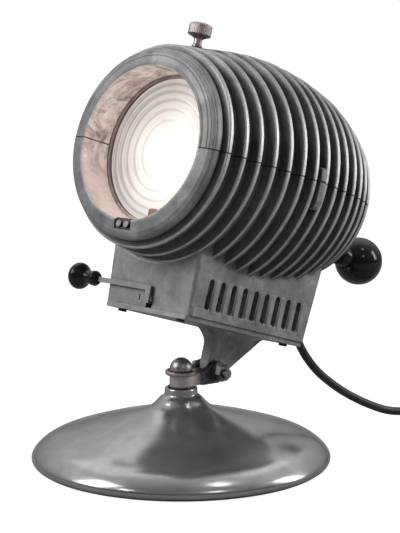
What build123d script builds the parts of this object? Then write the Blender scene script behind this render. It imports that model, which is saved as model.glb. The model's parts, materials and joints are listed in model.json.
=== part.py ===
from build123d import *
import math
import os

# Small studio fresnel spotlight on a round table base.
# Row frame: millimetres, +Z up, origin at the centre of the base's underside,
# lens towards -Y, latch side towards +X.
# The lamp head is drawn level, with its own origin at the centre of the front
# ring, y running back along the optical axis, and is then set at its rest tilt.

os.makedirs("parts", exist_ok=True)

# ---------------------------------------------------------------- dimensions
BASE_R = 125.0          # base radius
RUN = 0.05              # radial clearance of a running fit
STUD_R = 4.0            # M8 stem stud and tilt bolt
HEAD_TILT = 17.1        # rest tilt, lens up
RING_Y, RING_Z = -42.7, 269.0   # centre of the front ring in the row frame

RING_R = 78.3           # outside radius of the front ring
OPEN_R = 63.4           # radius of the opening
FIN_PITCH = 15.35
FIN_FIRST = 9.2
FIN_COUNT = 14
FIN_THK = 4.0
FIN_TIPS = [84.0, 87.0, 89.3, 92.4, 95.1, 97.1, 97.8, 97.1, 95.8, 93.2, 90.3, 85.3, 79.0, 71.5]
FIN_DEPTH = 9.5
WALL = 3.5
SEAM = 0.15             # half of the gap between the two barrel halves

BOX_TOP_Z, BOX_BOT_Z = -45.0, -127.0
PLATE_Z0 = -131.0
PIVOT_Y, PIVOT_Z = 132.4, -166.3      # tilt axis in the head's frame
cr, sr = math.cos(math.radians(HEAD_TILT)), math.sin(math.radians(HEAD_TILT))
BOLT_Y = RING_Y + PIVOT_Y * cr + PIVOT_Z * sr     # the same axis in the row frame
BOLT_Z = RING_Z - PIVOT_Y * sr + PIVOT_Z * cr
FIN_W = 9.0             # thickness of the tilt lug

VENT_N, VENT_Y0, VENT_PITCH = 9, 59.7, 14.2
VENT_W, VENT_H, VENT_ZC = 6.0, 25.5, -107.3
BAR_W, BAR_OUT = 6.8, 3.1       # raised bars between the slots

HINGE_X = -104.5
LATCH_Y = 109.2

LAMP_Y = 115.0          # lamp centre, focus lever pushed home
ROD_X, ROD_Z, ROD_R = 26.0, -112.0, 3.0
HANDLE_Z = -39.7
CORD_X, CORD_Z = 15.0, -112.0

HEAD = Location((0, RING_Y, RING_Z), (-HEAD_TILT, 0, 0))

screw_xy = [(-33, 48), (33, 48), (-33, 181), (33, 181)]

fin_s = [FIN_FIRST + FIN_PITCH * i for i in range(FIN_COUNT)]


def ring_pts(cx, cy, r, n, start=0.0):
    return [(cx + r * math.cos(start + 2 * math.pi * i / n), cy + r * math.sin(start + 2 * math.pi * i / n)) for i in range(n)]


# barrel outside, as (distance behind the ring, radius)
ring_top = [(-6.0, OPEN_R), (-6.4, 65.2), (-5.6, 66.6), (-5.1, 70.6), (-4.5, 71.0), (-4.6, 71.6), (-4.9, 71.9), (-4.5, 73.6), (-3.9, 73.9), (-4.1, 74.6), (-3.2, 76.4),
            (-2.5, 76.7), (-2.4, 77.3), (-1.4, 78.4), (0.0, RING_R + 0.4), (3.6, RING_R + 0.4), (4.6, 77.2), (5.0, 74.6)]
ring_low = [(-6.0, OPEN_R), (-6.4, 65.2), (-6.2, 66.4), (-4.6, 73.6), (-3.2, 76.6), (-1.6, 77.9), (0.0, RING_R), (3.6, RING_R), (4.6, 77.2), (5.0, 74.6)]
outer = []
for s, t in zip(fin_s, FIN_TIPS):
    root = t - FIN_DEPTH
    h = FIN_THK / 2
    outer += [(s - h - 0.9, root), (s - h - 0.2, t - 0.9), (s - h + 0.6, t), (s + h - 0.6, t), (s + h + 0.2, t - 0.9), (s + h + 0.9, root)]
outer += [(214.5, 60.0), (219.5, 55.5), (224.0, 48.0), (227.2, 39.0), (229.6, 27.0), (230.8, 14.0), (231.0, 0.0)]

# barrel inside
inner = [(-30.0, OPEN_R), (-6.0, OPEN_R), (22.3, 62.2), (22.3, 66.2), (38.3, 66.2), (38.3, 70.5), (46.0, 75.0), (60.0, 79.0), (74.0, 82.0), (88.0, 84.0),
         (101.0, 84.7), (117.0, 84.2), (133.0, 82.4), (148.0, 80.0), (163.0, 77.0), (179.0, 71.5), (194.0, 65.0),
         (207.0, 57.5), (214.0, 50.0), (220.0, 41.0), (224.5, 28.0), (226.6, 13.0), (227.0, 0.0)]

with BuildPart() as barrel_outer:
    with BuildSketch(Plane.YZ):
        with BuildLine():
            Polyline(*(ring_top + outer + [(-6.0, 0.0)]), close=True)
        make_face()
    revolve(axis=Axis.Y)

with BuildPart() as barrel_outer_low:
    with BuildSketch(Plane.YZ):
        with BuildLine():
            Polyline(*(ring_low + outer + [(-6.0, 0.0)]), close=True)
        make_face()
    revolve(axis=Axis.Y)

with BuildPart() as barrel_inner:
    with BuildSketch(Plane.YZ):
        with BuildLine():
            Polyline(*(inner + [(-30.0, 0.0)]), close=True)
        make_face()
    revolve(axis=Axis.Y)

# ---------------------------------------------------------------- upper shell
with BuildPart() as upper_shell:
    add(barrel_outer.part)
    # boss for the lens lock screw
    with BuildSketch(Plane.XY.offset(70.0)):
        with Locations((0, 36.5)):
            Circle(7.5)
    extrude(amount=17.5)
    # latch keeper
    with BuildSketch(Plane.XZ.offset(-(LATCH_Y + 3.4))):
        with BuildLine():
            Polyline((78, 0.3), (92.6, 0.3), (92.6, 8.0), (78, 8.0), close=True)
        make_face()
    extrude(amount=6.8)
    # hinge lugs of the upper half
    for yc in (78.2, 124.6):
        with BuildSketch(Plane.XZ.offset(-(yc + 3.8))):
            with BuildLine():
                Polyline((HINGE_X, 5.5), (-84.0, 20.0), (-84.0, SEAM), (HINGE_X + 3.0, SEAM), (HINGE_X, 0), close=True)
            make_face()
            with Locations((HINGE_X, 0)):
                Circle(5.5)
        extrude(amount=7.6)
        with Locations(Plane.XZ.offset(-yc)):
            with Locations((HINGE_X, 0)):
                Cylinder(radius=3.05, height=12, mode=Mode.SUBTRACT)
    add(barrel_inner.part, mode=Mode.SUBTRACT)
    # tapped hole for the lock screw
    with Locations((0, 36.5, 78)):
        Cylinder(radius=3.05, height=40, mode=Mode.SUBTRACT)
    # everything above the seam, and the two hinge knuckles
    with BuildSketch(Plane.XY.offset(SEAM - 12.0)):
        with Locations((20, 110)):
            Rectangle(245, 300)
    extrude(amount=12.0, mode=Mode.SUBTRACT)
    with BuildSketch(Plane.XY.offset(-110.0)):
        with Locations((20, 110)):
            Rectangle(245, 300)
    extrude(amount=98.4, mode=Mode.SUBTRACT)
upper_shell.part.label = "upper_shell"

# ---------------------------------------------------------------- lower housing
# one raised bar of the grille, filleted all round
with BuildPart() as vent_bar:
    with BuildSketch(Plane.YZ):
        SlotOverall(VENT_H + 4.0, BAR_W, rotation=90)
    extrude(amount=BAR_OUT)
    fillet(vent_bar.faces().sort_by(Axis.X)[-1].edges(), radius=1.4)

with BuildPart() as lower_housing:
    add(barrel_outer_low.part)
    # lamp house below the barrel, tapering towards its foot
    with BuildSketch(Plane.XY.offset(BOX_TOP_Z)):
        with Locations((0, (35.9 + 195.7) / 2)):
            RectangleRounded(100.0, 195.7 - 35.9, 3.5)
    with BuildSketch(Plane.XY.offset(BOX_BOT_Z)):
        with Locations((0, (41.0 + 191.4) / 2)):
            RectangleRounded(94.2, 191.4 - 41.0, 3.5)
    loft()
    # raised band along the foot of each side
    with BuildSketch(Plane.XY.offset(BOX_BOT_Z)):
        with Locations((0, (43.0 + 189.4) / 2)):
            RectangleRounded(96.6, 189.4 - 43.0, 2.0)
    extrude(amount=7.5)
    # hinge lugs of the lower half
    for yc in (78.2, 124.6):
        for dy in (-7.4, 7.4):
            with BuildSketch(Plane.XZ.offset(-(yc + dy + 3.2))):
                with BuildLine():
                    Polyline((HINGE_X, -5.5), (-84.0, -20.0), (-84.0, -SEAM), (HINGE_X + 3.0, -SEAM), (HINGE_X, 0), close=True)
                make_face()
                with Locations((HINGE_X, 0)):
                    Circle(5.5)
            extrude(amount=6.4)
        with Locations(Plane.XZ.offset(-yc)):
            with Locations((HINGE_X, 0)):
                Cylinder(radius=3.0, height=30, mode=Mode.SUBTRACT)
    # boss for the rear handle
    with BuildSketch(Plane.XZ.offset(-212.0)):
        with Locations((0, HANDLE_Z)):
            Circle(9.0)
    extrude(amount=-22.0)
    add(barrel_inner.part, mode=Mode.SUBTRACT)
    # inside of the lamp house
    with BuildSketch(Plane.XY.offset(BOX_TOP_Z + 10)):
        with Locations((0, (39.9 + 191.9) / 2)):
            RectangleRounded(92.6, 191.9 - 39.9, 3.0)
    with BuildSketch(Plane.XY.offset(BOX_BOT_Z)):
        with Locations((0, (45.2 + 187.4) / 2)):
            RectangleRounded(86.2, 187.4 - 45.2, 3.0)
    loft(mode=Mode.SUBTRACT)
    # screw bosses in the corners
    for sx in (-1, 1):
        for y0, y1 in ((43.0, 53.0), (176.0, 189.0)):
            with BuildSketch(Plane.XY.offset(BOX_BOT_Z)):
                with Locations((sx * 35.5, (y0 + y1) / 2)):
                    Rectangle(17.0, y1 - y0)
            extrude(amount=17.0)
    with Locations(*[(x, y, BOX_BOT_Z + 7) for x, y in screw_xy]):
        Cylinder(radius=2.0, height=16, mode=Mode.SUBTRACT)
    # bars between the air slots, both sides; the wall draws in behind them towards the foot
    for sx, turn in ((1, 0), (-1, 180)):
        with Locations(*[Location((sx * 45.6, VENT_Y0 + VENT_PITCH * (i - 0.5), VENT_ZC - 1.2), (0, 0, turn)) for i in range(1, VENT_N + 1)]):
            add(vent_bar.part)
    # air slots, both sides
    with BuildSketch(Plane.YZ.offset(-70)):
        with Locations(*[(VENT_Y0 + VENT_PITCH * i, VENT_ZC) for i in range(VENT_N)]):
            SlotOverall(VENT_H, VENT_W, rotation=90)
    extrude(amount=140, mode=Mode.SUBTRACT)
    # open-bottomed slot for the focus lever
    with BuildSketch(Plane.XZ.offset(-36.0)):
        with Locations((2.0, -124.2)):
            Rectangle(6.6, 13.0)
    extrude(amount=-11.0, mode=Mode.SUBTRACT)
    # small alignment slit beside the lever
    with BuildSketch(Plane.XZ.offset(-36.0)):
        with Locations((-9.5, -119.5)):
            Rectangle(1.4, 4.6)
    extrude(amount=-11.0, mode=Mode.SUBTRACT)
    # cord outlet
    with Locations(Plane.XZ.offset(-190)):
        with Locations((CORD_X, CORD_Z)):
            Cylinder(radius=6.0, height=20, mode=Mode.SUBTRACT)
    # tapped hole for the handle stud
    with Locations(Plane.XZ.offset(-226)):
        with Locations((0, HANDLE_Z)):
            Cylinder(radius=3.0, height=40, mode=Mode.SUBTRACT)
    # bore for the latch pin, through the fins either side of the latch
    with Locations(Plane.XZ.offset(-LATCH_Y)):
        with Locations((92.5, -18.0)):
            Cylinder(radius=1.5, height=30, mode=Mode.SUBTRACT)
    # recess for the accessory catch in the foot of the ring
    with BuildSketch(Plane.XZ.offset(8.0)):
        with Locations((0, -66.4)):
            Rectangle(18.4, 9.6)
    extrude(amount=-5.0, mode=Mode.SUBTRACT)
    with Locations(Plane.XZ.offset(0)):
        with Locations((-4.1, -66.6), (4.1, -66.6)):
            Cylinder(radius=1.25, height=12, mode=Mode.SUBTRACT)
    # everything above the seam goes, apart from the hinge knuckles
    with BuildSketch(Plane.XY.offset(-SEAM)):
        with Locations((20, 110)):
            Rectangle(245, 300)
    extrude(amount=12.0, mode=Mode.SUBTRACT)
    with BuildSketch(Plane.XY.offset(11.8)):
        with Locations((20, 110)):
            Rectangle(245, 300)
    extrude(amount=100.0, mode=Mode.SUBTRACT)
lower_housing.part.label = "lower_housing"

# ---------------------------------------------------------------- bottom plate with tilt lug
lug_tan = math.radians(41.0)
tan_pt = (PIVOT_Y + 9.0 * math.sin(lug_tan), PIVOT_Z - 9.0 * math.cos(lug_tan))
with BuildPart() as bottom_plate:
    with BuildSketch(Plane.XY.offset(PLATE_Z0)):
        with Locations((0, (40.0 + 190.6) / 2)):
            RectangleRounded(92.6, 190.6 - 40.0, 3.5)
    extrude(amount=BOX_BOT_Z - PLATE_Z0)
    with BuildSketch(Plane.YZ.offset(-FIN_W / 2)):
        with BuildLine():
            fin_front = Line((PIVOT_Y - 9.0, PIVOT_Z), (PIVOT_Y - 9.0, PIVOT_Z + 20.0))
            fin_flare = Spline((PIVOT_Y - 9.0, PIVOT_Z + 20.0), (119.0, -137.5), (106.0, PLATE_Z0 + 0.5), tangents=((0, 1), (-1, 0.25)))
            fin_top = Line((106.0, PLATE_Z0 + 0.5), (190.0, PLATE_Z0 + 0.5))
            fin_rear2 = Line((190.0, PLATE_Z0 + 0.5), (185.5, PLATE_Z0 - 1.4))
            fin_rear = Line((185.5, PLATE_Z0 - 1.4), tan_pt)
            lug_arc = ThreePointArc(tan_pt, (PIVOT_Y - 9.0 * math.cos(math.radians(45)), PIVOT_Z - 9.0 * math.sin(math.radians(45))), (PIVOT_Y - 9.0, PIVOT_Z))
        make_face()
    extrude(amount=FIN_W)
    # thick foot where the lug meets the plate
    with BuildSketch(Plane.XY.offset(PLATE_Z0)):
        with Locations((0, 146.0)):
            RectangleRounded(19.0, 78.0, 8.0)
    with BuildSketch(Plane.XY.offset(PLATE_Z0 - 5.0)):
        with Locations((0, 147.0)):
            RectangleRounded(FIN_W - 0.6, 52.0, 3.0)
    loft()
    with Locations(Plane.YZ):
        with Locations((PIVOT_Y, PIVOT_Z)):
            Cylinder(radius=STUD_R + RUN, height=30, mode=Mode.SUBTRACT)
    with Locations(*[(x, y, -129.0) for x, y in screw_xy]):
        Cylinder(radius=2.2, height=10, mode=Mode.SUBTRACT)
    with Locations(*[(x, y, -129.0) for x in (-28, 28) for y in (57.0, 170.5)]):
        Cylinder(radius=1.6, height=10, mode=Mode.SUBTRACT)
    with Locations(*[(x, y, PLATE_Z0 + 0.75) for x in (-28, 28) for y in (57.0, 170.5)]):
        Cone(bottom_radius=3.0, top_radius=1.7, height=1.5, mode=Mode.SUBTRACT)
bottom_plate.part.label = "bottom_plate"

with BuildPart() as plate_screws:
    with Locations(*[(x, y, PLATE_Z0 - 1.1) for x, y in screw_xy]):
        Cylinder(radius=3.6, height=2.2)
    with Locations(*[(x, y, -124.5) for x, y in screw_xy]):
        Cylinder(radius=1.98, height=13.0)
    with Locations(*[(x, y, PLATE_Z0 - 2.2) for x, y in screw_xy]):
        Box(6.0, 0.9, 1.2, mode=Mode.SUBTRACT)
plate_screws.part.label = "plate_screws"

# ---------------------------------------------------------------- lens and its ring
with BuildPart() as lens_ring:
    with BuildSketch(Plane.YZ):
        with BuildLine():
            Polyline((22.6, 60.0), (22.6, 65.9), (38.0, 65.9), (38.0, 62.3), (25.8, 62.3), (25.8, 60.0), close=True)
        make_face()
    revolve(axis=Axis.Y)
    with Locations((0, 31, 66)):
        Cylinder(radius=3.4, height=6, mode=Mode.SUBTRACT)
lens_ring.part.label = "lens_ring"

lens_r = [0.0, 15.0, 25.0, 34.0, 42.0, 49.0, 55.0]
lens_pts = [(31.5, 0.0), (31.5, 62.0), (26.0, 62.0), (26.0, 59.8)]
for a, b in reversed(list(zip(lens_r[1:], lens_r[2:] + [59.8]))):
    lens_pts += [(25.8, b - 0.3), (22.9, a + 0.3)]
lens_pts += [(25.4, 15.0), (22.0, 9.0), (20.6, 0.0)]
with BuildPart() as fresnel_lens:
    with BuildSketch(Plane.YZ):
        with BuildLine():
            Polyline(*lens_pts, close=True)
        make_face()
    revolve(axis=Axis.Y)
fresnel_lens.part.label = "fresnel_lens"

with BuildPart() as lens_clips:
    for ang in (-86.0, 34.0):
        with BuildSketch(Plane.XZ.offset(-22.3)):
            with Locations(Location((0, 0, 0), (0, 0, ang))):
                with Locations((55.0, 0)):
                    RectangleRounded(12.6, 8.4, 2.0)
        extrude(amount=1.3)
lens_clips.part.label = "lens_clips"

with BuildPart() as lens_clamp_ring:
    with BuildSketch(Plane.YZ):
        with BuildLine():
            Polyline((31.6, 57.0), (31.6, 62.2), (33.6, 62.2), (33.6, 57.0), close=True)
        make_face()
    revolve(axis=Axis.Y)
lens_clamp_ring.part.label = "lens_clamp_ring"

with BuildPart() as catch_plate:
    with BuildSketch(Plane.XZ.offset(3.0)):
        with Locations((0, -66.4)):
            Rectangle(18.0, 9.2)
    extrude(amount=1.2)
    with Locations(Plane.XZ.offset(3.5)):
        with Locations((-4.1, -66.6), (4.1, -66.6)):
            Cylinder(radius=1.3, height=6, mode=Mode.SUBTRACT)
catch_plate.part.label = "catch_plate"

with BuildPart() as catch_screws:
    with Locations(Plane.XZ.offset(5.2)):
        with Locations((-4.1, -66.6), (4.1, -66.6)):
            Cylinder(radius=2.6, height=2.0)
    with Locations(Plane.XZ.offset(0.3)):
        with Locations((-4.1, -66.6), (4.1, -66.6)):
            Cylinder(radius=1.22, height=8.6)
catch_screws.part.label = "catch_screws"

# ---------------------------------------------------------------- lens lock screw
with BuildPart() as lens_lock_screw:
    with Locations((0, 36.5, 83.5)):
        Cylinder(radius=3.0, height=28.0)
    with BuildSketch(Plane.XY.offset(97.0)):
        with Locations((0, 36.5)):
            Circle(6.0)
    extrude(amount=1.4)
    with BuildSketch(Plane.XY.offset(98.4)):
        with BuildLine():
            Polyline(*[(x, y + 36.5) for x, y in sum([[(9.6 * math.cos(math.radians(a)), 9.6 * math.sin(math.radians(a))),
                                                       (9.0 * math.cos(math.radians(a + 6)), 9.0 * math.sin(math.radians(a + 6)))] for a in range(0, 360, 12)], [])], close=True)
        make_face()
    extrude(amount=10.0)
    with BuildSketch(Plane.XY.offset(108.4)):
        with Locations((0, 36.5)):
            Circle(8.0)
    extrude(amount=1.0)
lens_lock_screw.part.label = "lens_lock_screw"

# ---------------------------------------------------------------- hinge pins and latch
with BuildPart() as hinge_pins:
    for yc in (78.2, 124.6):
        with Locations(Plane.XZ.offset(-yc)):
            with Locations((HINGE_X, 0)):
                Cylinder(radius=2.99, height=23.4)
hinge_pins.part.label = "hinge_pins"

with BuildPart() as latch_lever:
    with BuildSketch(Plane.XZ.offset(-(LATCH_Y + 3.3))):
        with BuildLine():
            Polyline((94.0, 8.6), (93.2, 9.4), (94.2, 11.2), (96.0, 11.8), (99.2, 9.0), (99.6, 1.4), (98.6, 0.0), (99.6, -1.6),
                     (99.4, -16.0), (97.6, -20.6), (93.8, -22.8), (90.2, -21.4), (89.4, -17.0), (91.0, -14.4), (93.6, -12.6), (94.0, -8.0), close=True)
        make_face()
    extrude(amount=6.6)
    with Locations(Plane.XZ.offset(-LATCH_Y)):
        with Locations((92.5, -18.0)):
            Cylinder(radius=1.55, height=10, mode=Mode.SUBTRACT)
latch_lever.part.label = "latch_lever"

with BuildPart() as latch_pin:
    with Locations(Plane.XZ.offset(-LATCH_Y)):
        with Locations((92.5, -18.0)):
            Cylinder(radius=1.49, height=19.0)
latch_pin.part.label = "latch_pin"

# ---------------------------------------------------------------- rear handle
with BuildPart() as handle_stud:
    with Locations(Plane.XZ.offset(-253.0)):
        with Locations((0, HANDLE_Z)):
            Cylinder(radius=2.98, height=60.0)
    with Locations(Plane.XZ.offset(-259.6)):
        with Locations((0, HANDLE_Z)):
            Cylinder(radius=5.0, height=51.0)
handle_stud.part.label = "handle_stud"

with BuildPart() as handle_ball:
    with Locations((0, 305.2, HANDLE_Z)):
        Sphere(radius=22.0)
    with BuildSketch(Plane.XZ.offset(-283.4)):
        with Locations((0, HANDLE_Z)):
            Circle(9.0)
    extrude(amount=-10.0)
    with Locations(Plane.XZ.offset(-278.0)):
        with Locations((0, HANDLE_Z)):
            Cylinder(radius=5.02, height=14.4, mode=Mode.SUBTRACT)
handle_ball.part.label = "handle_ball"

# ---------------------------------------------------------------- focus gear inside the lamp house
with BuildPart() as rod_brackets:
    for y0 in (54.5, 168.0):
        with BuildSketch(Plane.XZ.offset(-(y0 + 5.0))):
            with BuildLine():
                Polyline((-36, BOX_BOT_Z), (-20, BOX_BOT_Z), (-20, -107.4), (20, -107.4), (20, BOX_BOT_Z), (36, BOX_BOT_Z), (36, -104.4), (-36, -104.4), close=True)
            make_face()
        extrude(amount=5.0)
    with Locations(Plane.XZ.offset(-110)):
        with Locations((-ROD_X, ROD_Z), (ROD_X, ROD_Z)):
            Cylinder(radius=ROD_R + 0.01, height=140, mode=Mode.SUBTRACT)
    with Locations(*[(x, y, -124.0) for x in (-28, 28) for y in (57.0, 170.5)]):
        Cylinder(radius=1.5, height=12.0, mode=Mode.SUBTRACT)
rod_brackets.part.label = "rod_brackets"

with BuildPart() as bracket_screws:
    with Locations(*[(x, y, -125.0) for x in (-28, 28) for y in (57.0, 170.5)]):
        Cylinder(radius=1.48, height=12.0)
    with Locations(*[(x, y, PLATE_Z0 + 0.75) for x in (-28, 28) for y in (57.0, 170.5)]):
        Cone(bottom_radius=2.7, top_radius=1.48, height=1.3)
bracket_screws.part.label = "bracket_screws"

with BuildPart() as guide_rods:
    with Locations(Plane.XZ.offset(-113.75)):
        with Locations((-ROD_X, ROD_Z), (ROD_X, ROD_Z)):
            Cylinder(radius=ROD_R, height=118.5)
guide_rods.part.label = "guide_rods"

with BuildPart() as lamp_carriage:
    with BuildSketch(Plane.XY.offset(-121.0)):
        with Locations((0, LAMP_Y)):
            RectangleRounded(66.0, 34.0, 3.0)
    extrude(amount=15.0)
    with Locations(Plane.XZ.offset(-LAMP_Y)):
        with Locations((-ROD_X, ROD_Z), (ROD_X, ROD_Z)):
            Cylinder(radius=ROD_R + RUN, height=60, mode=Mode.SUBTRACT)
    with Locations(*[(2.0, y, -119.0) for y in (102.5, 107.5)]):
        Cylinder(radius=1.5, height=14.0, mode=Mode.SUBTRACT)
lamp_carriage.part.label = "lamp_carriage"

with BuildPart() as lamp_socket:
    with BuildSketch(Plane.XY.offset(-106.0)):
        with Locations((0, LAMP_Y)):
            Circle(16.8)
    extrude(amount=5.0)
    with BuildSketch(Plane.XY.offset(-101.0)):
        with Locations((0, LAMP_Y)):
            Circle(15.5)
    extrude(amount=29.0)
    with BuildSketch(Plane.XY.offset(-90.0)):
        with Locations((0, LAMP_Y)):
            Circle(12.1)
    extrude(amount=20.0, mode=Mode.SUBTRACT)
lamp_socket.part.label = "lamp_socket"

with BuildPart() as lamp_cap:
    with BuildSketch(Plane.XY.offset(-88.0)):
        with Locations((0, LAMP_Y)):
            Circle(12.0)
    extrude(amount=22.0)
    with BuildSketch(Plane.XY.offset(-90.0)):
        with Locations((0, LAMP_Y)):
            Circle(5.0)
    extrude(amount=2.0)
lamp_cap.part.label = "lamp_cap"

with BuildPart() as lamp_bulb:
    with BuildSketch(Plane.YZ):
        with BuildLine():
            b0 = Polyline((LAMP_Y, -66.0), (LAMP_Y + 11.5, -66.0), (LAMP_Y + 12.0, -62.0), (LAMP_Y + 19.0, -50.0), (LAMP_Y + 19.0, 22.0))
            b1 = ThreePointArc((LAMP_Y + 19.0, 22.0), (LAMP_Y + 19.0 * math.sin(math.radians(45)), 22.0 + 19.0 * math.sin(math.radians(45))), (LAMP_Y, 41.0))
            b2 = Line((LAMP_Y, 41.0), (LAMP_Y, -66.0))
        make_face()
    revolve(axis=Axis((0, LAMP_Y, 0), (0, 0, 1)))
    with BuildSketch(Plane.YZ):
        with BuildLine():
            c0 = Polyline((LAMP_Y, -63.0), (LAMP_Y + 10.0, -63.0), (LAMP_Y + 17.8, -49.6), (LAMP_Y + 17.8, 22.0))
            c1 = ThreePointArc((LAMP_Y + 17.8, 22.0), (LAMP_Y + 17.8 * math.sin(math.radians(45)), 22.0 + 17.8 * math.sin(math.radians(45))), (LAMP_Y, 39.8))
            c2 = Line((LAMP_Y, 39.8), (LAMP_Y, -63.0))
        make_face()
    revolve(axis=Axis((0, LAMP_Y, 0), (0, 0, 1)), mode=Mode.SUBTRACT)
lamp_bulb.part.label = "lamp_bulb"

with BuildPart() as lamp_filament:
    with Locations((-6, LAMP_Y, -32.5), (6, LAMP_Y, -32.5)):
        Cylinder(radius=0.7, height=61.0)
    with Locations(Location((0, LAMP_Y, -2.0), (0, 90, 0))):
        Cylinder(radius=1.6, height=14.0)
lamp_filament.part.label = "lamp_filament"

with BuildPart() as reflector:
    with BuildSketch(Plane.YZ):
        with BuildLine():
            a0, a1 = math.radians(43.0), math.radians(21.5)
            ro, ri = 56.4, 55.2
            r0 = ThreePointArc((LAMP_Y + ro, 0), (LAMP_Y + ro * math.cos(a1), ro * math.sin(a1)), (LAMP_Y + ro * math.cos(a0), ro * math.sin(a0)))
            r1 = Line((LAMP_Y + ro * math.cos(a0), ro * math.sin(a0)), (LAMP_Y + ri * math.cos(a0), ri * math.sin(a0)))
            r2 = ThreePointArc((LAMP_Y + ri * math.cos(a0), ri * math.sin(a0)), (LAMP_Y + ri * math.cos(a1), ri * math.sin(a1)), (LAMP_Y + ri, 0))
            r3 = Line((LAMP_Y + ri, 0), (LAMP_Y + ro, 0))
        make_face()
    revolve(axis=Axis.Y)
reflector.part.label = "reflector"

with BuildPart() as reflector_bracket:
    with BuildSketch(Plane.YZ.offset(-10.0)):
        with BuildLine():
            Polyline((132.05, -118.0), (134.0, -118.0), (134.0, -62.0), (164.0, -62.0), (164.0, -34.0), (159.0, -34.0), (159.0, -60.0), (132.05, -60.0), close=True)
        make_face()
    extrude(amount=20.0)
    with Locations((0, LAMP_Y, 0)):
        Sphere(radius=56.42, mode=Mode.SUBTRACT)
reflector_bracket.part.label = "reflector_bracket"

with BuildPart() as focus_lever:
    with BuildSketch(Plane.XZ.offset(-38.6)):
        with BuildLine():
            Polyline((-62.0, -108.7), (4.6, -108.9), (4.6, -123.4), (-0.6, -123.4), (-0.6, -113.1), (-62.0, -112.9), close=True)
        make_face()
    extrude(amount=2.2)
    fillet(focus_lever.edges().filter_by(Axis.Y).sort_by(Axis.X)[-1:], radius=1.0)
    with BuildSketch(Plane.XY.offset(-123.4)):
        with Locations((2.0, 74.0)):
            Rectangle(5.2, 74.0)
    extrude(amount=2.2)
    with Locations(*[(2.0, y, -122.0) for y in (102.5, 107.5)]):
        Cylinder(radius=1.5, height=8.0, mode=Mode.SUBTRACT)
focus_lever.part.label = "focus_lever"

with BuildPart() as lever_screws:
    with Locations(*[(2.0, y, -124.2) for y in (102.5, 107.5)]):
        Cylinder(radius=2.3, height=1.6)
    with Locations(*[(2.0, y, -118.9) for y in (102.5, 107.5)]):
        Cylinder(radius=1.48, height=9.0)
lever_screws.part.label = "lever_screws"

KNOB_X = -76.6
with BuildPart() as focus_knob:
    with BuildSketch(Plane.XZ.offset(-37.5)):
        with BuildLine():
            k0 = ThreePointArc((KNOB_X - 11.9, -110.6), (KNOB_X - 8.6, -110.6 + 8.6), (KNOB_X, -110.6 + 12.0))
            k1 = ThreePointArc((KNOB_X, -110.6 + 12.0), (KNOB_X + 7.2, -110.6 + 9.4), (KNOB_X + 10.6, -110.6 + 4.6))
            k2 = Polyline((KNOB_X + 10.6, -110.6 + 4.6), (KNOB_X + 12.0, -110.6 + 6.4), (KNOB_X + 16.2, -110.6 + 6.4), (KNOB_X + 19.4, -110.6 + 4.2), (KNOB_X + 20.0, -110.6), (KNOB_X - 11.9, -110.6))
        make_face()
    revolve(axis=Axis((0, 37.5, -110.6), (1, 0, 0)))
    with BuildSketch(Plane.YZ.offset(-62.5)):
        with Locations((37.5, -110.8)):
            Rectangle(2.4, 4.6)
    extrude(amount=8.0, mode=Mode.SUBTRACT)
focus_knob.part.label = "focus_knob"

# ---------------------------------------------------------------- wiring
with BuildPart() as terminal_block:
    with BuildSketch(Plane.XY.offset(BOX_BOT_Z)):
        with Locations((-4, 150.0)):
            RectangleRounded(26.0, 18.0, 1.5)
    extrude(amount=13.0)
    with Locations(*[(x, 150.0, -114.0) for x in (-12, -4, 4)]):
        Cylinder(radius=2.4, height=6.0, mode=Mode.SUBTRACT)
terminal_block.part.label = "terminal_block"

with BuildPart() as terminal_screws:
    with Locations(*[(x, 150.0, -115.6) for x in (-12, -4, 4)]):
        Cylinder(radius=2.3, height=2.8)
    with Locations(*[(x, 150.0, -114.2) for x in (-12, -4, 4)]):
        Box(6.0, 0.8, 1.2, mode=Mode.SUBTRACT)
terminal_screws.part.label = "terminal_screws"

with BuildPart() as lamp_leads:
    for sx in (-1, 1):
        with BuildLine() as lead_path:
            Spline((sx * 15.6, LAMP_Y, -92.0), (sx * 21.0, LAMP_Y + 4.0, -93.0), (sx * 19.5, 131.0, -99.0), (sx * 12.5 - 4, 146.0, -108.0), tangents=((sx, 0, 0), (-sx * 0.3, 0.7, -0.9)))
        with BuildSketch(Plane(origin=lead_path.line @ 0, z_dir=lead_path.line % 0)):
            Circle(1.3)
        sweep(path=lead_path.line)
lamp_leads.part.label = "lamp_leads"

with BuildPart() as cord_grommet:
    with BuildSketch(Plane.XY):
        with BuildLine():
            Polyline((3.9, 181.0), (5.95, 181.0), (5.95, 193.0), (9.2, 193.0), (9.2, 194.4), (8.0, 195.2), (3.9, 195.2), close=True)
        make_face()
    revolve(axis=Axis.Y)
cord_grommet.part.label = "cord_grommet"

with BuildPart() as inner_cord:
    with Locations(Plane.XZ.offset(-178.6)):
        with Locations((CORD_X, CORD_Z)):
            Cylinder(radius=3.75, height=32.0)
inner_cord.part.label = "inner_cord"

# ---------------------------------------------------------------- power cord, in the row frame
CORD_PY = 199.6
cord_p = (CORD_X, RING_Y + CORD_PY * cr + CORD_Z * sr, RING_Z - CORD_PY * sr + CORD_Z * cr)
cord_run = [(cord_p, (0, cr, -sr)), ((16.2, 138.3, 74.5), (0.078, 0.526, -0.847)), ((20.6, 160.1, 49.7), (0.171, 0.727, -0.665)),
            ((30.4, 198.6, 23.4), (0.222, 0.861, -0.458)), ((46.6, 252.3, 4.0), (0.33, 0.944, 0.0))]
cord_end = Vector(46.6, 252.3, 4.0) + Vector(0.33, 0.944, 0).normalized() * 37.8


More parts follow.
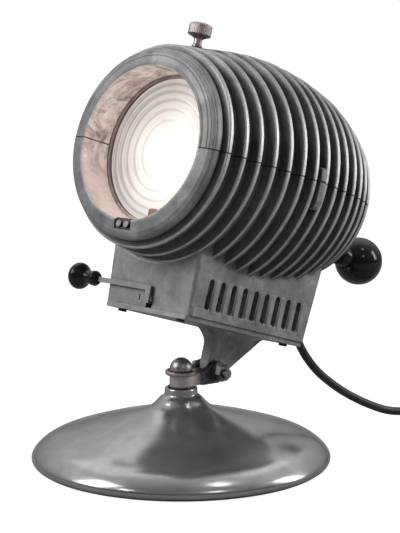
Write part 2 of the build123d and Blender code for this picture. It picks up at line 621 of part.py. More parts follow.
def arc_joint(p0, t0, p1, t1):
    # the point where two arcs that share a tangent meet
    v, t = p1 - p0, t0 + t1
    a, b, c = 2 * (1 - t0.dot(t1)), 2 * v.dot(t), -v.dot(v)
    d = (-b + math.sqrt(b * b - 4 * a * c)) / (2 * a)
    return (p0 + t0 * d + p1 - t1 * d) * 0.5


with BuildPart() as power_cord:
    with BuildLine() as cord_path:
        for (pa, ta), (pb, tb) in zip(cord_run, cord_run[1:]):
            va, vb, ua, ub = Vector(*pa), Vector(*pb), Vector(*ta).normalized(), Vector(*tb).normalized()
            mid = arc_joint(va, ua, vb, ub)
            TangentArc(va, mid, tangent=ua)
            TangentArc(vb, mid, tangent=ub * -1)
        Line(Vector(*cord_run[-1][0]), cord_end)
    with BuildSketch(Plane(origin=cord_path.line @ 0, z_dir=cord_path.line % 0)):
        Circle(3.75)
    sweep(path=cord_path.line)
    with Locations(cord_p):
        Sphere(radius=3.75)
power_cord.part.label = "power_cord"

plug_dir = Vector(0.33, 0.944, 0).normalized()
plug_plane = Plane(origin=cord_end + plug_dir * 0.05 + Vector(0, 0, 8.5), x_dir=(plug_dir.Y, -plug_dir.X, 0), z_dir=(plug_dir.X, plug_dir.Y, 0))
with BuildPart() as plug_body:
    with BuildSketch(plug_plane.offset(0)):
        with Locations((0, -8.5)):
            Circle(3.95)
    with BuildSketch(plug_plane.offset(16)):
        RectangleRounded(30.0, 24.0, 9.0)
    loft()
    with BuildSketch(plug_plane.offset(16)):
        RectangleRounded(30.0, 24.0, 9.0)
    extrude(amount=20.0)
    with BuildSketch(plug_plane.offset(30)):
        with Locations((-6.35, 0), (6.35, 0)):
            Rectangle(1.6, 6.4)
    extrude(amount=10.0, mode=Mode.SUBTRACT)
plug_body.part.label = "plug_body"

with BuildPart() as plug_pins:
    with BuildSketch(plug_plane.offset(30.05)):
        with Locations((-6.35, 0), (6.35, 0)):
            Rectangle(1.5, 6.3)
    extrude(amount=23.0)
plug_pins.part.label = "plug_pins"

# ---------------------------------------------------------------- base
base_out = [(13.7, 62.8), (14.0, 57.4), (15.4, 56.2), (17.6, 54.6), (19.4, 52.6), (21.8, 49.9), (25.4, 46.9), (30.6, 43.9), (38.8, 40.9), (48.8, 37.9), (59.8, 34.9),
            (71.2, 31.9), (78.4, 29.9), (85.0, 27.9), (91.8, 25.8), (98.8, 23.6), (105.2, 21.4), (110.2, 19.4), (114.0, 17.4), (117.2, 15.3),
            (120.4, 12.6), (123.0, 9.8), (124.6, 7.2), (BASE_R, 5.2), (124.6, 3.2), (123.4, 1.6), (121.6, 0.8)]
base_in = [(117.0, 0.8), (117.0, 4.0), (113.6, 11.0), (108.0, 15.4), (98.0, 19.4), (85.0, 23.6), (71.0, 27.6), (59.0, 30.6), (48.0, 33.4), (38.0, 36.2), (28.0, 38.6), (17.0, 40.0), (16.0, 39.0), (16.0, 30.0)]
with BuildPart() as base_dish:
    with BuildSketch(Plane.XZ):
        with BuildLine():
            Polyline(*(base_out + base_in + [(4.0, 30.0), (4.0, 62.8)]), close=True)
        make_face()
    revolve(axis=Axis.Z)
base_dish.part.label = "base_dish"

with BuildPart() as base_pad:
    with BuildSketch(Plane.XY):
        Circle(121.0)
        Circle(110.0, mode=Mode.SUBTRACT)
    extrude(amount=0.75)
base_pad.part.label = "base_pad"

with BuildPart() as stem_stud:
    with Locations((0, 0, (20.0 + 84.0) / 2)):
        Cylinder(radius=3.99, height=64.0)
stem_stud.part.label = "stem_stud"

with BuildPart() as stud_washer:
    with BuildSketch(Plane.XY.offset(28.3)):
        Circle(10.0)
        Circle(4.2, mode=Mode.SUBTRACT)
    extrude(amount=1.65)
stud_washer.part.label = "stud_washer"

with BuildPart() as stud_nut:
    with BuildSketch(Plane.XY.offset(21.7)):
        RegularPolygon(radius=6.5, side_count=6, major_radius=False)
        Circle(4.02, mode=Mode.SUBTRACT)
    extrude(amount=6.5)
stud_nut.part.label = "stud_nut"

with BuildPart() as friction_washer:
    with BuildSketch(Plane.XY.offset(62.85)):
        Circle(11.2)
        Circle(4.2, mode=Mode.SUBTRACT)
    extrude(amount=1.0)
friction_washer.part.label = "friction_washer"

# ---------------------------------------------------------------- swivel arm
with BuildPart() as swivel_arm:
    with BuildSketch(Plane.XY.offset(63.9)):
        Circle(9.7)
    extrude(amount=9.7)
    with BuildSketch(Plane.YZ.offset(-9.5)):
        with BuildLine():
            Polyline((0, 63.9), (14.2, 63.9), (16.0, 62.9), (BOLT_Y, BOLT_Z - 9.3), (BOLT_Y, BOLT_Z + 9.3), (31.5, BOLT_Z + 8.6), (19.0, 74.4), (14.6, 73.55), (0, 73.55), close=True)
        make_face()
        with Locations((BOLT_Y, BOLT_Z)):
            Circle(9.3)
    extrude(amount=19.0)
    # slot of the fork
    with BuildSketch(Plane.YZ.offset(-4.65)):
        with Locations((22.0 + 20.0, BOLT_Z)):
            Rectangle(40.0, 40.0)
    extrude(amount=9.3, mode=Mode.SUBTRACT)
    with Locations((0, 0, 70)):
        Cylinder(radius=3.99 + RUN, height=30, mode=Mode.SUBTRACT)
    with Locations(Plane.YZ):
        with Locations((BOLT_Y, BOLT_Z)):
            Cylinder(radius=STUD_R + RUN, height=40, mode=Mode.SUBTRACT)
swivel_arm.part.label = "swivel_arm"

with BuildPart() as cap_washer:
    with BuildSketch(Plane.XZ):
        with BuildLine():
            Polyline((4.04, 73.65), (12.7, 73.65), (13.6, 74.5), (13.6, 76.4), (12.6, 77.5), (11.4, 77.3), (10.4, 76.3), (4.04, 76.3), close=True)
        make_face()
    revolve(axis=Axis.Z)
cap_washer.part.label = "cap_washer"

with BuildPart() as cap_nut:
    with BuildSketch(Plane.XZ):
        with BuildLine():
            n0 = Polyline((4.04, 76.4), (9.3, 76.4), (9.6, 78.4))
            n1 = ThreePointArc((9.6, 78.4), (9.6 * math.sin(math.radians(45)), 78.4 + 9.6 * math.sin(math.radians(45))), (0, 88.0))
            n2 = Polyline((0, 88.0), (0, 84.4), (4.04, 84.4), (4.04, 76.4))
        make_face()
    revolve(axis=Axis.Z)
cap_nut.part.label = "cap_nut"

with BuildPart() as tilt_bolt:
    with Locations(Location((3.5, BOLT_Y, BOLT_Z), (0, 90, 0))):
        Cylinder(radius=STUD_R, height=36.0)
    with BuildSketch(Plane.YZ.offset(-11.2)):
        with Locations((BOLT_Y, BOLT_Z)):
            RegularPolygon(radius=6.5, side_count=6, major_radius=False)
    extrude(amount=-5.3)
tilt_bolt.part.label = "tilt_bolt"

with BuildPart() as tilt_washers:
    for x0 in (-11.15, 9.55):
        with BuildSketch(Plane.YZ.offset(x0)):
            with Locations((BOLT_Y, BOLT_Z)):
                Circle(8.3)
                Circle(4.2, mode=Mode.SUBTRACT)
        extrude(amount=1.6)
tilt_washers.part.label = "tilt_washers"

with BuildPart() as tilt_nut:
    with BuildSketch(Plane.YZ.offset(11.2)):
        with Locations((BOLT_Y, BOLT_Z)):
            RegularPolygon(radius=6.5, side_count=6, major_radius=False)
            Circle(STUD_R + RUN, mode=Mode.SUBTRACT)
    extrude(amount=6.5)
tilt_nut.part.label = "tilt_nut"

# ---------------------------------------------------------------- export
grommet_place = Location((CORD_X, 0, CORD_Z))
level_pieces = [upper_shell, lower_housing, bottom_plate, plate_screws, lens_ring, fresnel_lens, lens_clips, lens_clamp_ring, catch_plate, catch_screws,
                lens_lock_screw, hinge_pins, latch_lever, latch_pin, handle_stud, handle_ball, rod_brackets, bracket_screws, guide_rods, lamp_carriage,
                lamp_socket, lamp_cap, lamp_bulb, lamp_filament, reflector, reflector_bracket, focus_lever, lever_screws, focus_knob, terminal_block,
                terminal_screws, lamp_leads, inner_cord]
for piece in level_pieces:
    solid = piece.part.moved(HEAD)
    solid.label = piece.part.label
    export_step(solid, f"parts/{piece.part.label}.step")
grommet = cord_grommet.part.moved(HEAD * grommet_place)
grommet.label = "cord_grommet"
export_step(grommet, "parts/cord_grommet.step")
for piece in [power_cord, plug_body, plug_pins, base_dish, base_pad, stem_stud, stud_washer, stud_nut, friction_washer, swivel_arm, cap_washer, cap_nut,
              tilt_bolt, tilt_washers, tilt_nut]:
    export_step(piece.part, f"parts/{piece.part.label}.step")
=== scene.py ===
import bpy, bmesh, json, math, random
from mathutils import Vector, Matrix


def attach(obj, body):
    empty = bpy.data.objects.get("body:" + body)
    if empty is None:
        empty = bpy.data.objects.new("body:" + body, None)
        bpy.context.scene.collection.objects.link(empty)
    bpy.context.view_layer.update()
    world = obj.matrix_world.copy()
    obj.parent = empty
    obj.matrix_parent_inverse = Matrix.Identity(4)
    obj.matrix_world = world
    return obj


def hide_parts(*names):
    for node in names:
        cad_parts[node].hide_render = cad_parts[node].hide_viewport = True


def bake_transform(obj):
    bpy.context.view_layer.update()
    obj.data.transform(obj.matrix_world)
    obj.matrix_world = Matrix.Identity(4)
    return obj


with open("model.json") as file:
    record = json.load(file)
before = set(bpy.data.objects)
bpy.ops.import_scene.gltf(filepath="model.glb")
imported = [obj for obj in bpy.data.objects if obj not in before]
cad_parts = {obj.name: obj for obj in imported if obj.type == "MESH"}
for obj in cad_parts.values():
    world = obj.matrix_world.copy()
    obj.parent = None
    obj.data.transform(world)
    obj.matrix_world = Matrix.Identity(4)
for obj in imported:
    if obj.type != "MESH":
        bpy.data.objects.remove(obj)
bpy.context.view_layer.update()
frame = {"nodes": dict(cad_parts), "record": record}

N = frame["nodes"]
random.seed(7)

# head frame: origin in the middle of the front ring, y back along the axis, z up
TILT = math.radians(17.1)
CT, ST = math.cos(TILT), math.sin(TILT)
C0 = Vector((0.0, -0.0427, 0.269))


def W(x, y, z):
    """head millimetres to world metres"""
    x, y, z = x / 1000, y / 1000, z / 1000
    return Vector((x, C0.y + y * CT + z * ST, C0.z - y * ST + z * CT))


AXY = Vector((0, CT, -ST))
AXZ = Vector((0, ST, CT))


# ------------------------------------------------------------------ node helper
class M:
    def __init__(self, name):
        self.m = bpy.data.materials.new(name)
        self.m.use_nodes = True
        self.t = self.m.node_tree
        self.b = self.t.nodes["Principled BSDF"]
        self.out = self.t.nodes["Material Output"]
        self.co = self.n("ShaderNodeTexCoord").outputs["Object"]

    def n(self, kind, **kw):
        x = self.t.nodes.new(kind)
        for k, v in kw.items():
            setattr(x, k, v)
        return x

    def put(self, sock, v):
        if isinstance(v, bpy.types.NodeSocket):
            self.t.links.new(v, sock)
        elif hasattr(sock, "default_value"):
            if sock.type == "RGBA" and len(v) == 3:
                v = (*v, 1.0)
            sock.default_value = v

    def math(self, op, a, b=0.0, c=0.0, clamp=False):
        x = self.n("ShaderNodeMath", operation=op, use_clamp=clamp)
        self.put(x.inputs[0], a); self.put(x.inputs[1], b); self.put(x.inputs[2], c)
        return x.outputs[0]

    def vm(self, op, a, b=None, scale=None):
        x = self.n("ShaderNodeVectorMath", operation=op)
        self.put(x.inputs[0], a)
        if b is not None:
            self.put(x.inputs[1], b)
        if scale is not None:
            self.put(x.inputs["Scale"], scale)
        return x.outputs["Value"] if op in ("DOT_PRODUCT", "LENGTH", "DISTANCE") else x.outputs["Vector"]

    def noise(self, scale, detail=4.0, rough=0.55, vec=None, dist=0.0):
        x = self.n("ShaderNodeTexNoise")
        self.put(x.inputs["Vector"], vec or self.co)
        self.put(x.inputs["Scale"], scale); self.put(x.inputs["Detail"], detail)
        self.put(x.inputs["Roughness"], rough); self.put(x.inputs["Distortion"], dist)
        return x.outputs["Fac"]

    def voro(self, scale, feature="F1"):
        x = self.n("ShaderNodeTexVoronoi", feature=feature)
        self.put(x.inputs["Vector"], self.co); self.put(x.inputs["Scale"], scale)
        return x.outputs["Distance"]

    def rng(self, v, a, b, c=0.0, d=1.0, smooth=False):
        x = self.n("ShaderNodeMapRange")
        if smooth:
            x.interpolation_type = "SMOOTHSTEP"
        for i, q in enumerate((v, a, b, c, d)):
            self.put(x.inputs[i], q)
        return x.outputs[0]

    def mix(self, f, a, b):
        x = self.n("ShaderNodeMix", data_type="RGBA")
        self.put(x.inputs["Factor"], f)
        self.put(x.inputs[6], a); self.put(x.inputs[7], b)
        return x.outputs[2]

    def mixf(self, f, a, b):
        x = self.n("ShaderNodeMix", data_type="FLOAT")
        self.put(x.inputs["Factor"], f)
        self.put(x.inputs[2], a); self.put(x.inputs[3], b)
        return x.outputs[0]

    def bump(self, h, dist, strength=1.0, normal=None):
        x = self.n("ShaderNodeBump")
        self.put(x.inputs["Height"], h); self.put(x.inputs["Distance"], dist); self.put(x.inputs["Strength"], strength)
        if normal is not None:
            self.put(x.inputs["Normal"], normal)
        return x.outputs[0]

    def bevel(self, r, samples=4):
        x = self.n("ShaderNodeBevel", samples=samples)
        self.put(x.inputs["Radius"], r)
        return x.outputs[0]

    def edge(self, r, lo=0.02, hi=0.25):
        """1 on edges, 0 on flats: how far a rounded normal leans from the true one"""
        g = self.n("ShaderNodeNewGeometry").outputs["Normal"]
        d = self.vm("DOT_PRODUCT", self.bevel(r), g)
        return self.rng(self.math("SUBTRACT", 1.0, d), lo, hi, smooth=True)

    def ramp(self, v, stops):
        x = self.n("ShaderNodeValToRGB")
        e = x.color_ramp.elements
        while len(e) > 1:
            e.remove(e[-1])
        e[0].position, e[0].color = stops[0][0], (*stops[0][1], 1)
        for p, c in stops[1:]:
            k = e.new(p); k.color = (*c, 1)
        self.put(x.inputs[0], v)
        return x.outputs[0]

    def head(self):
        d = self.vm("SUBTRACT", self.co, tuple(C0))
        s = self.vm("DOT_PRODUCT", d, tuple(AXY))
        z = self.vm("DOT_PRODUCT", d, tuple(AXZ))
        x = self.vm("DOT_PRODUCT", d, (1, 0, 0))
        r = self.math("SQRT", self.math("ADD", self.math("MULTIPLY", x, x), self.math("MULTIPLY", z, z)))
        return x, s, z, r

    def set(self, **kw):
        for k, v in kw.items():
            self.put(self.b.inputs[k.replace("_", " ")], v)
        return self.m


def grey(v, warm=0.0, cool=0.0):
    return (v * (1 + warm), v, v * (1 + cool))


# ------------------------------------------------------------------ materials
def cast_aluminium():
    m = M("cast_aluminium")
    x, s, z, r = m.head()
    PITCH, FIRST = 0.01535, 0.0092
    ph = m.math("SUBTRACT", s, FIRST - PITCH / 2)
    md = m.math("SUBTRACT", m.math("MODULO", m.math("ADD", ph, PITCH * 4), PITCH), PITCH / 2)
    fin = m.rng(m.math("ABSOLUTE", md), 0.0021, 0.0027, 1.0, 0.0)
    tips = [84.0, 87.0, 89.3, 92.4, 95.1, 97.1, 97.8, 97.1, 95.8, 93.2, 90.3, 85.3, 79.0, 71.5]
    fc = m.n("ShaderNodeFloatCurve")
    cur = fc.mapping.curves[0]
    xs = [(9.2 + 15.35 * i) / 240 for i in range(14)]
    cur.points[0].location = (0.0, 0.80); cur.points[1].location = (1.0, 0.60)
    for px, t in zip(xs, tips):
        cur.points.new(px, t / 100)
    fc.mapping.update()
    m.put(fc.inputs["Value"], m.math("DIVIDE", s, 0.240))
    tip = m.math("MULTIPLY", fc.outputs[0], 0.1)
    below = m.math("SUBTRACT", tip, r)          # depth below the fin tips
    barrel = m.rng(s, 0.0052, 0.0062)
    onbar = m.math("MULTIPLY", barrel, m.rng(below, 0.016, 0.013))
    # painted highlight: the fin crests are brightened where the light catches them
    wob = m.noise(55.0, 3.0)
    tipside = m.rng(below, -0.0022, -0.0012)
    onbar = m.math("MULTIPLY", onbar, tipside)
    onbar = m.math("MULTIPLY", onbar, m.rng(z, -0.104, -0.092))
    crest_highlight = m.math("MULTIPLY", m.math("MULTIPLY", fin, onbar), m.rng(m.math("ADD", below, m.math("MULTIPLY", wob, 0.0010)), 0.0020, 0.0009, smooth=True))
    upper = m.rng(z, -0.004, 0.040, smooth=True)
    # painted highlight: low down only the front edge of each fin is kept bright
    lip = m.rng(z, -0.004, -0.050, 0.0026, -0.0008)
    front = m.rng(m.math("SUBTRACT", md, lip), 0.0003, -0.0002)
    crest_highlight = m.math("MULTIPLY", crest_highlight, front)
    # dark oxide in the grooves plus painted shade: low down the dark reaches right to the tip, and the back of each
    # fin is darkened as shade
    gd = m.math("DIVIDE", m.math("SUBTRACT", below, m.mixf(upper, 0.0003, 0.0012)), m.mixf(upper, 0.0014, 0.0062))
    groove = m.rng(gd, 0.0, 1.0, smooth=True)
    shaded_fin_back = m.math("SUBTRACT", 1.0, front)
    gn = m.n("ShaderNodeNewGeometry").outputs["Normal"]
    nx = m.math("ABSOLUTE", m.vm("DOT_PRODUCT", gn, (1, 0, 0)))
    rad = m.math("DIVIDE", m.math("ABSOLUTE", x), r)
    wallm = m.math("MULTIPLY", m.rng(m.math("SUBTRACT", nx, rad), 0.16, 0.28), m.rng(z, -0.055, -0.062))
    keep = m.math("SUBTRACT", 1.0, m.math("MULTIPLY", wallm, m.rng(z, -0.068, -0.092, 0.15, 1.0)))
    crest_highlight = m.math("MULTIPLY", crest_highlight, m.math("SUBTRACT", 1.0, wallm))
    groove = m.math("MULTIPLY", m.math("MULTIPLY", onbar, keep), m.math("MAXIMUM", groove, m.math("MULTIPLY", shaded_fin_back, 0.95)))
    inner = m.math("MULTIPLY", m.rng(r, 0.0640, 0.0632), m.rng(s, 0.06, 0.03))
    seam = m.math("MULTIPLY", m.rng(m.math("ABSOLUTE", z), 0.0009, 0.0003), m.rng(r, 0.060, 0.062))
    edge = m.edge(0.0011, 0.03, 0.30)
    mott = m.noise(38.0, 6.0, 0.62, dist=0.4)
    fine = m.noise(900.0, 3.0, 0.7)
    blot = m.noise(140.0, 5.0, 0.65)
    base = m.ramp(m.math("ADD", m.math("MULTIPLY", mott, 0.65), m.math("MULTIPLY", blot, 0.35)),
                  [(0.34, grey(0.185, 0.0, 0.04)), (0.45, grey(0.255, 0.0, 0.03)), (0.54, grey(0.325, 0.0, 0.02)), (0.64, grey(0.44, 0.01, 0.0))])
    # groove colour, oxide and painted shade together: near-black above the parting line, a lighter violet below
    dark = m.ramp(blot, [(0.3, (0.046, 0.043, 0.055)), (0.6, (0.070, 0.066, 0.080)), (0.8, (0.100, 0.096, 0.108))])
    low = m.ramp(blot, [(0.3, (0.120, 0.112, 0.140)), (0.6, (0.165, 0.156, 0.186)), (0.8, (0.215, 0.206, 0.236))])
    dark = m.mix(m.rng(z, 0.010, -0.030, 0.0, 1.0, smooth=True), dark, low)
    smoke = m.rng(m.noise(26.0, 4.0, 0.6, dist=0.8), 0.35, 0.62, 0.80, 1.0)
    col = m.mix(m.math("MULTIPLY", m.math("MULTIPLY", groove, smoke), m.mixf(upper, 1.0, 0.88)), base, dark)
    bright = m.ramp(blot, [(0.3, grey(0.50, 0.0, 0.02)), (0.7, grey(0.66, 0.0, 0.02))])
    # painted highlight: crest colour lifted towards the top of the barrel and faded again at the very top
    col = m.mix(m.math("MULTIPLY", crest_highlight, m.math("MULTIPLY", m.rng(z, -0.09, 0.0, 0.40, 0.92), m.rng(z, 0.045, 0.080, 1.0, 0.25, smooth=True))), col, bright)
    col = m.mix(m.math("MULTIPLY", m.math("MULTIPLY", edge, m.math("SUBTRACT", 1.0, groove)), 0.40), col, bright)
    # heat-stained wall in front of the lens
    stain = m.noise(42.0, 6.0, 0.68, dist=1.4)
    wall = m.ramp(stain, [(0.34, (0.15, 0.115, 0.105)), (0.43, (0.34, 0.285, 0.265)), (0.53, (0.52, 0.46, 0.435)), (0.68, (0.68, 0.62, 0.59))])
    wall = m.mix(m.math("MULTIPLY", m.rng(m.noise(160.0, 4.0, 0.7), 0.56, 0.68), 0.55), wall, (0.12, 0.085, 0.075))
    wall = m.mix(m.rng(z, 0.0, -0.03, 0.0, 0.65), wall, (0.56, 0.48, 0.455))
    col = m.mix(inner, col, wall)
    col = m.mix(m.math("MULTIPLY", seam, 0.8), col, (0.02, 0.018, 0.018))
    # painted shade: hollows found by ambient occlusion are darkened, patchy with the mottle
    ao = m.n("ShaderNodeAmbientOcclusion", samples=6)
    m.put(ao.inputs["Distance"], 0.012)
    dirt = m.rng(ao.outputs["AO"], 0.75, 0.25, 0.0, 0.55)
    col = m.mix(m.math("MULTIPLY", dirt, m.rng(mott, 0.3, 0.7, 0.6, 1.0)), col, (0.045, 0.042, 0.044))
    rough = m.math("ADD", m.rng(blot, 0.3, 0.75, 0.50, 0.66), m.math("MULTIPLY", m.math("ADD", crest_highlight, edge), -0.16))
    rough = m.mixf(groove, rough, 0.72)
    h = m.math("ADD", m.math("MULTIPLY", fine, 0.35), m.math("ADD", m.math("MULTIPLY", blot, 0.6), m.math("MULTIPLY", m.noise(2200.0, 2.0), 0.25)))
    nrm = m.bump(h, 0.00055, 0.62, m.bevel(0.0005))
    return m.set(Base_Color=col, Metallic=m.mixf(inner, m.mixf(groove, 0.72, 0.45), 0.15), Roughness=rough, Normal=nrm)


def base_metal():
    m = M("base_metal")
    sp = m.n("ShaderNodeSeparateXYZ"); m.put(sp.inputs[0], m.co)
    X, Y, Z = sp.outputs
    r = m.math("SQRT", m.math("ADD", m.math("MULTIPLY", X, X), m.math("MULTIPLY", Y, Y)))
    ring = m.n("ShaderNodeCombineXYZ"); m.put(ring.inputs[0], m.math("MULTIPLY", r, 1.0)); m.put(ring.inputs[2], m.math("MULTIPLY", Z, 0.6))
    lathe = m.noise(260.0, 2.0, 0.5, ring.outputs[0])
    smud = m.noise(16.0, 5.0, 0.6, dist=1.2)
    blot = m.noise(60.0, 5.0, 0.6, dist=0.6)
    fine = m.noise(700.0, 3.0, 0.7)
    col = m.ramp(m.math("ADD", m.math("MULTIPLY", smud, 0.6), m.math("MULTIPLY", blot, 0.4)),
                 [(0.30, grey(0.31, 0.0, 0.03)), (0.48, grey(0.38, 0.0, 0.03)), (0.60, grey(0.43, 0.0, 0.02)), (0.75, grey(0.49, 0.01, 0.01))])
    spots = m.rng(m.noise(120.0, 3.0, 0.5), 0.60, 0.75, 0.0, 0.12)
    col = m.mix(spots, col, (0.14, 0.135, 0.13))
    rough = m.math("ADD", m.rng(smud, 0.3, 0.7, 0.14, 0.23), m.math("MULTIPLY", lathe, 0.04))
    h = m.math("ADD", m.math("MULTIPLY", lathe, 0.10), m.math("MULTIPLY", smud, 1.2))
    nrm = m.bump(h, 0.00006, 0.3)
    return m.set(Base_Color=col, Metallic=0.84, Roughness=rough, Normal=nrm)


def metal(*a, **k):
    return metal_m(*a, **k).m


def metal_m(name, c, rough=(0.28, 0.45), metallic=0.95, scale=1.0, dirt=(0.05, 0.045, 0.04), edge_c=None, bump=0.0002, spots=0.35):
    m = M(name)
    a = m.noise(120.0 * scale, 5.0, 0.6, dist=0.5)
    b = m.noise(1100.0 * scale, 3.0, 0.7)
    dk = tuple(v * 0.68 for v in c); lt = tuple(min(1, v * 1.22) for v in c)
    col = m.ramp(a, [(0.30, dk), (0.5, c), (0.7, lt)])
    sp = m.math("MULTIPLY", m.rng(m.noise(420.0 * scale, 4.0, 0.7), 0.60, 0.70), spots)
    col = m.mix(sp, col, dirt)
    e = m.edge(0.0005, 0.03, 0.3)
    col = m.mix(m.math("MULTIPLY", e, 0.6), col, edge_c or tuple(min(1, v * 1.5) for v in c))
    # painted shade: crevices found by ambient occlusion are darkened towards the dirt colour
    ao = m.n("ShaderNodeAmbientOcclusion", samples=4); m.put(ao.inputs["Distance"], 0.004)
    col = m.mix(m.rng(ao.outputs["AO"], 0.7, 0.2, 0.0, 0.7), col, dirt)
    rg = m.math("ADD", m.rng(a, 0.3, 0.7, rough[0], rough[1]), m.math("MULTIPLY", b, 0.08))
    nrm = m.bump(m.math("ADD", m.math("MULTIPLY", a, 0.5), m.math("MULTIPLY", b, 0.5)), bump, 0.5, m.bevel(0.0003))
    m.set(Base_Color=col, Metallic=metallic, Roughness=rg, Normal=nrm)
    return m


def bakelite():
    m = M("black_knob")
    a = m.noise(70.0, 4.0, 0.6, dist=1.5)
    b = m.noise(600.0, 3.0, 0.7)
    col = m.ramp(a, [(0.3, (0.006, 0.006, 0.008)), (0.6, (0.014, 0.013, 0.016)), (0.8, (0.030, 0.026, 0.026))])
    dust = m.math("MULTIPLY", m.rng(m.noise(1500.0, 2.0, 0.8), 0.64, 0.72), 0.25)
    col = m.mix(dust, col, (0.16, 0.15, 0.14))
    rg = m.rng(m.noise(30.0, 5.0, 0.6), 0.35, 0.7, 0.10, 0.20)
    nrm = m.bump(m.math("ADD", m.math("MULTIPLY", a, 0.7), m.math("MULTIPLY", b, 0.3)), 0.00012, 0.35)
    return m.set(Base_Color=col, Roughness=rg, Normal=nrm, Specular_IOR_Level=0.34, IOR=1.45)


def rubber():
    m = M("black_rubber")
    a = m.noise(160.0, 5.0, 0.6)
    b = m.noise(1800.0, 3.0, 0.7)
    col = m.ramp(a, [(0.3, (0.010, 0.010, 0.011)), (0.6, (0.020, 0.020, 0.022)), (0.8, (0.045, 0.044, 0.044))])
    e = m.edge(0.0006, 0.03, 0.3)
    col = m.mix(m.math("MULTIPLY", e, 0.5), col, (0.09, 0.088, 0.086))
    rg = m.rng(a, 0.3, 0.7, 0.32, 0.52)
    return m.set(Base_Color=col, Roughness=rg, Normal=m.bump(m.math("ADD", a, m.math("MULTIPLY", b, 0.5)), 0.00018, 0.5))


def lens_lit():
    m = M("lens_glass")
    x, s, z, r = m.head()
    # image of the lamp spreads from a hot centre, broken by the stepped zones
    d = m.math("SQRT", m.math("ADD", m.math("POWER", m.math("SUBTRACT", x, 0.014), 2.0), m.math("POWER", m.math("ADD", z, 0.010), 2.0)))
    glow = m.ramp(m.math("DIVIDE", d, 0.064), [(0.0, (1.0, 0.985, 0.95)), (0.45, (1.0, 0.965, 0.92)), (0.75, (1.0, 0.92, 0.87)), (1.0, (0.98, 0.87, 0.81))])
    g = m.n("ShaderNodeNewGeometry").outputs["Normal"]
    step = m.rng(m.vm("DOT_PRODUCT", g, tuple(-AXY)), 0.75, 0.99, 0.72, 1.0)
    wave = m.rng(m.noise(30.0, 3.0, 0.5), 0.3, 0.7, 0.88, 1.08)
    zone = m.math("SUBTRACT", r, 0.0)
    rings = None
    for rr, w, k in ((0.0150, 0.0012, 0.12), (0.0250, 0.0014, 0.20), (0.0340, 0.0016, 0.26), (0.0420, 0.0018, 0.30), (0.0490, 0.0018, 0.32), (0.0550, 0.0018, 0.34)):
        q = m.rng(m.math("ABSOLUTE", m.math("SUBTRACT", r, rr)), 0.0, w, 1.0 - k, 1.0, smooth=True)
        rings = q if rings is None else m.math("MULTIPLY", rings, q)
    st = m.math("MULTIPLY", m.math("MULTIPLY", rings, wave), m.rng(d, 0.020, 0.076, 1.04, 0.58, smooth=True))
    lpth = m.n("ShaderNodeLightPath").outputs["Is Camera Ray"]
    st = m.math("MULTIPLY", st, m.mixf(lpth, 0.55, 1.0))
    fine = m.noise(500.0, 3.0, 0.6)
    m.set(Base_Color=(0.035, 0.032, 0.03), Roughness=m.rng(fine, 0.3, 0.7, 0.10, 0.22), Transmission_Weight=0.0, IOR=1.5,
          Emission_Color=glow, Emission_Strength=st, Normal=m.bump(fine, 0.0001, 0.3))
    return m.m


def warm_collar(name="lens_ring_metal"):
    return metal(name, (0.44, 0.36, 0.32), (0.35, 0.5), 0.7)


def arm_metal():
    m = metal_m("arm_nickel", (0.56, 0.495, 0.485), (0.30, 0.45))
    sp = m.n("ShaderNodeSeparateXYZ"); m.put(sp.inputs[0], m.co)
    # darker towards the fork: dark steel there, together with painted shade round the knuckle
    f = m.rng(m.math("ADD", sp.outputs[1], m.math("MULTIPLY", m.noise(90.0, 4.0), 0.006)), 0.006, 0.018, smooth=True)
    bc = m.b.inputs["Base Color"]; src = bc.links[0].from_socket
    m.put(bc, m.mix(f, src, m.mix(m.rng(m.noise(220.0, 4.0, 0.7), 0.4, 0.65), (0.055, 0.055, 0.062), (0.16, 0.155, 0.165))))
    return m.m


def glassy(name, c, rough=0.03):
    m = M(name)
    a = m.noise(90.0, 4.0, 0.6)
    return m.set(Base_Color=m.mix(m.rng(a, 0.3, 0.7), c, tuple(v * 0.92 for v in c)), Roughness=m.rng(a, 0.3, 0.7, rough, rough + 0.05),
                 Transmission_Weight=0.95, IOR=1.5, Normal=m.bump(a, 0.0001, 0.2))


def plain(name, c, rough=(0.35, 0.55), bump=0.0002, scale=1.0, sheen=0.0):
    m = M(name)
    a = m.noise(150.0 * scale, 5.0, 0.6)
    b = m.noise(1600.0 * scale, 3.0, 0.7)
    col = m.ramp(a, [(0.3, tuple(v * 0.8 for v in c)), (0.5, c), (0.75, tuple(min(1, v * 1.12) for v in c))])
    e = m.edge(0.0005, 0.03, 0.3)
    col = m.mix(m.math("MULTIPLY", e, 0.4), col, tuple(min(1, v * 1.35) for v in c))
    return m.set(Base_Color=col, Roughness=m.rng(a, 0.3, 0.7, *rough), Sheen_Weight=sheen,
                 Normal=m.bump(m.math("ADD", a, m.math("MULTIPLY", b, 0.6)), bump, 0.5))


